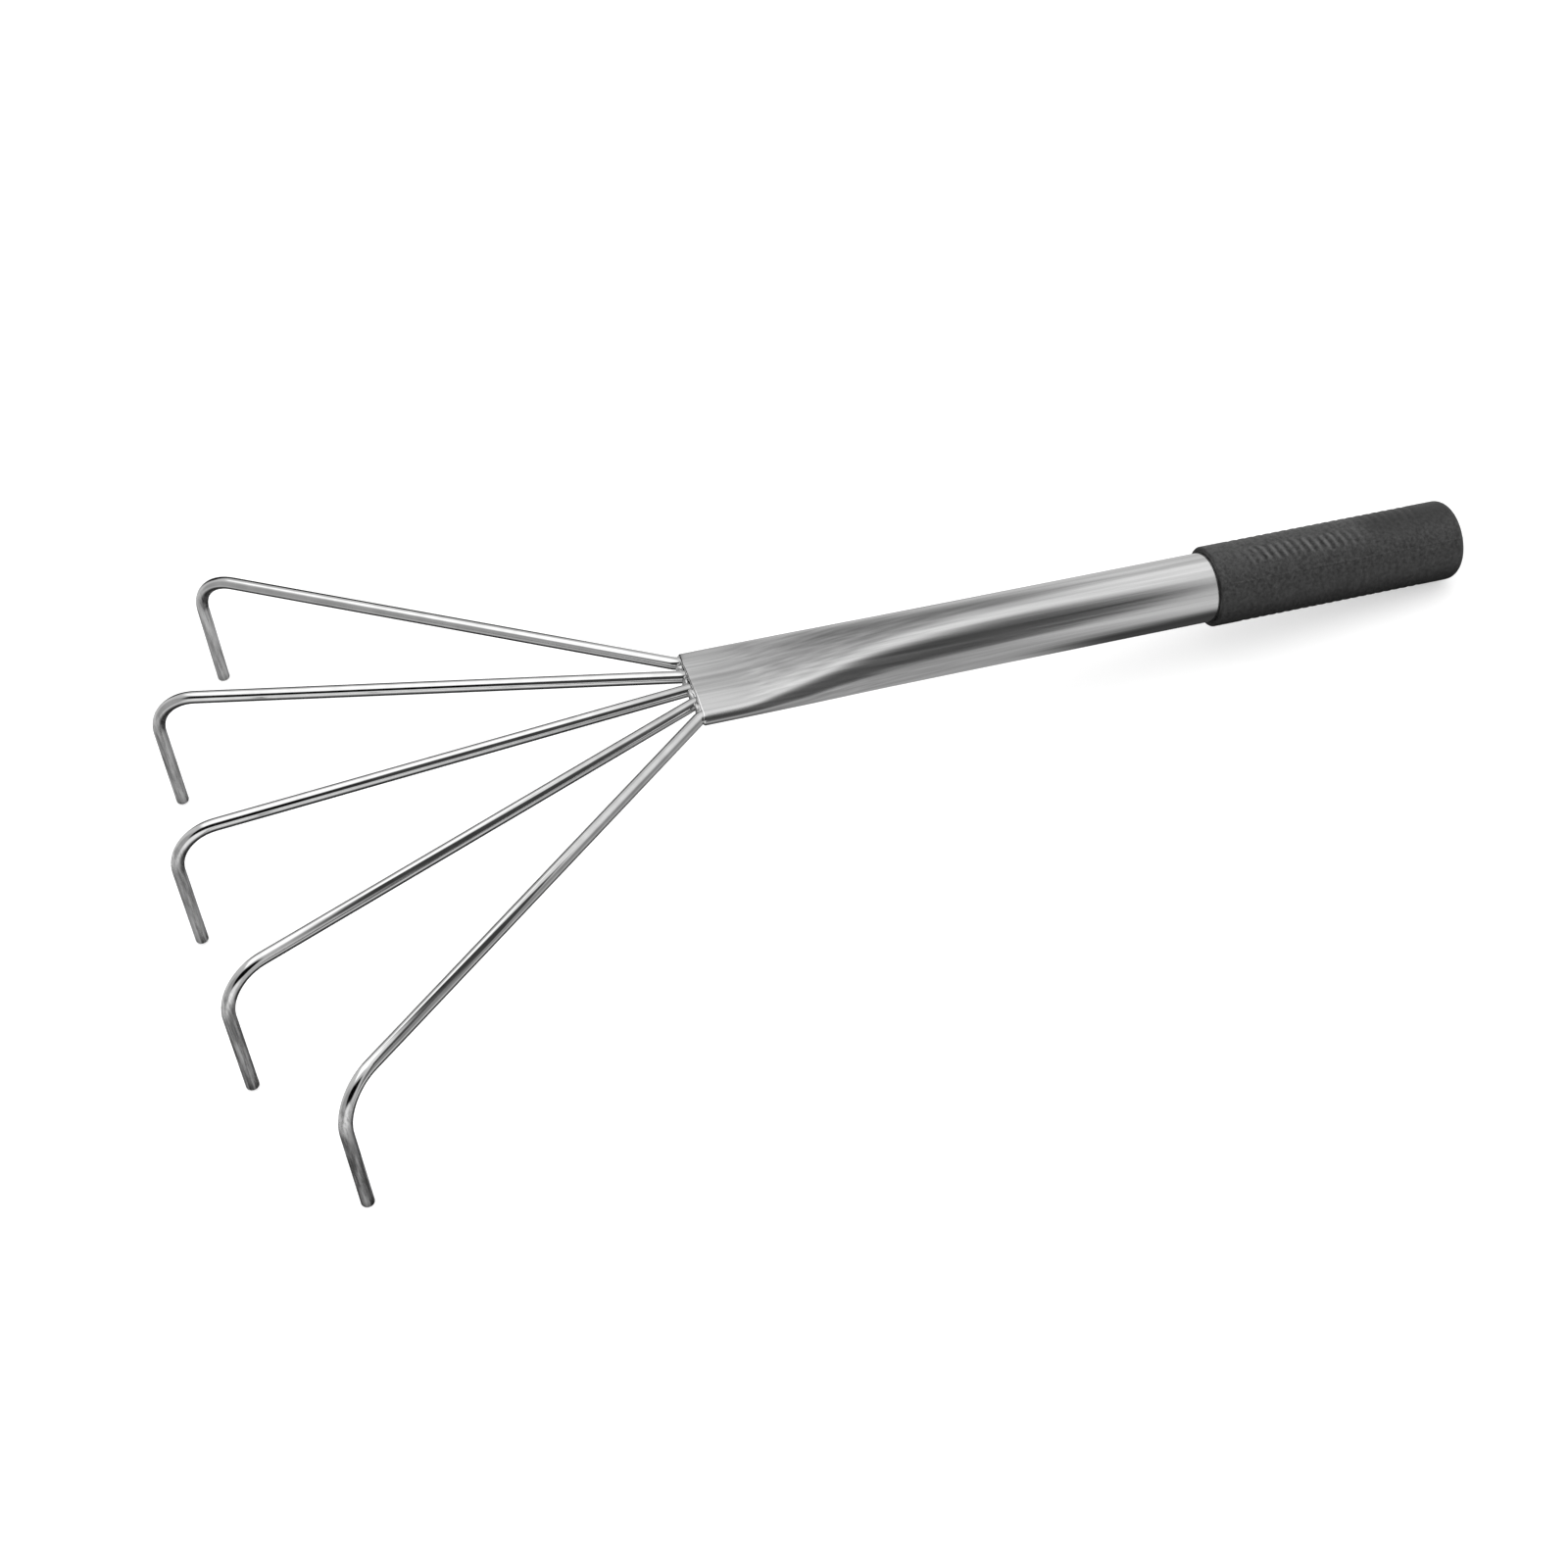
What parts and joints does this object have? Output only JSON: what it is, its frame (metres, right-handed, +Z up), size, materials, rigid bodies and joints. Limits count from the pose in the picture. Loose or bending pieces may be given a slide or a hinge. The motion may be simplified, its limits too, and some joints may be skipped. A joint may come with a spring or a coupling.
{
  "type": "hand rake",
  "caption": "Short hand rake: bent wire tines fan out of the pressed-flat mouth of a plated steel tube that carries a black slip-on grip at its other end.",
  "frame": {"origin": "on the floor that the rake stands on, under the middle of its length and width", "axes": "+Z up, +X from the tines towards the grip, +Y to the left of someone who looks along +X"},
  "size_m": [0.4724, 0.268, 0.0524],
  "materials": {
    "tube": "bright plated, lightly brushed",
    "tine": "bright plated wire",
    "weld": "plated weld metal",
    "grip": "fine matte texture"
  },
  "bodies": {
    "root": {"handle_tube": "tube", "tine_1": "tine", "tine_2": "tine", "tine_3": "tine", "tine_4": "tine", "tine_5": "tine", "weld_beads": "weld", "grip": "grip"}
  },
  "joints": []
}
